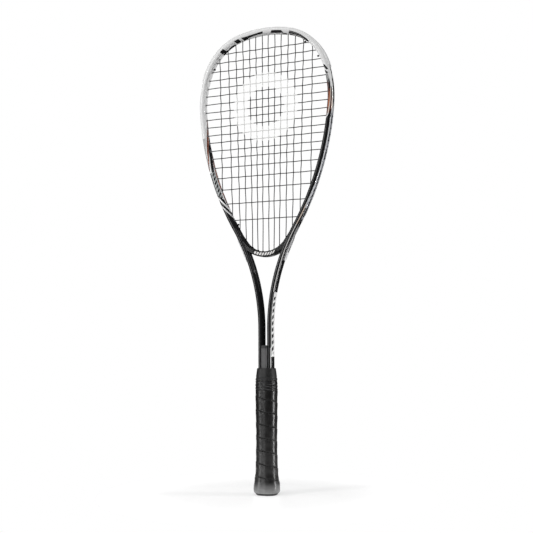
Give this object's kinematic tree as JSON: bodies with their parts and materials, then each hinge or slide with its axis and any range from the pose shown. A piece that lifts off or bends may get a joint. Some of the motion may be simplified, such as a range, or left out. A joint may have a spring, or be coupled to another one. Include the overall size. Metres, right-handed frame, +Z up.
{
  "type": "squash racket",
  "caption": "Squash racket with a teardrop head strung in a woven bed, an open throat with a moulded bridge, a twin-tube shaft and a wrapped grip.",
  "frame": {"origin": "middle of the flat butt end of the handle", "axes": "+Z up the racket from the butt to the tip of the head, strings in the plane Y = 0, front face towards -Y, +X to the right of the front face"},
  "size_m": [0.2143, 0.0346, 0.6859],
  "materials": {
    "frame_paint": "lacquered carbon composite, gloss, white over the head",
    "bridge_plastic": "moulded black, satin gloss",
    "bumper_nylon": "white nylon, satin",
    "grommet_nylon": "grey nylon, satin",
    "string_nylon": "dark monofilament",
    "insert_rubber": "grey textured rubber",
    "pallet_foam": "rigid foam",
    "cap_plastic": "black moulded plastic",
    "badge_plastic": "plain grey disc",
    "staple_steel": "bright wire",
    "grip_pu": "black polyurethane grip tape",
    "finishing_tape": "black stretch tape",
    "collar_rubber": "dark grey mottled rubber"
  },
  "bodies": {
    "root": {"frame_tube": "frame_paint", "throat_bridge": "bridge_plastic", "bumper_guard": "bumper_nylon", "side_grommet_strip_right": "grommet_nylon", "side_grommet_strip_left": "grommet_nylon", "bridge_grommet_strip": "grommet_nylon", "main_string": "string_nylon", "cross_string": "string_nylon", "shaft_insert": "insert_rubber", "handle_pallet_front": "pallet_foam", "handle_pallet_back": "pallet_foam", "butt_cap": "cap_plastic", "butt_badge": "badge_plastic", "butt_cap_staples": "staple_steel", "grip_wrap": "grip_pu", "finishing_tape": "finishing_tape", "grip_collar": "collar_rubber"}
  },
  "joints": []
}
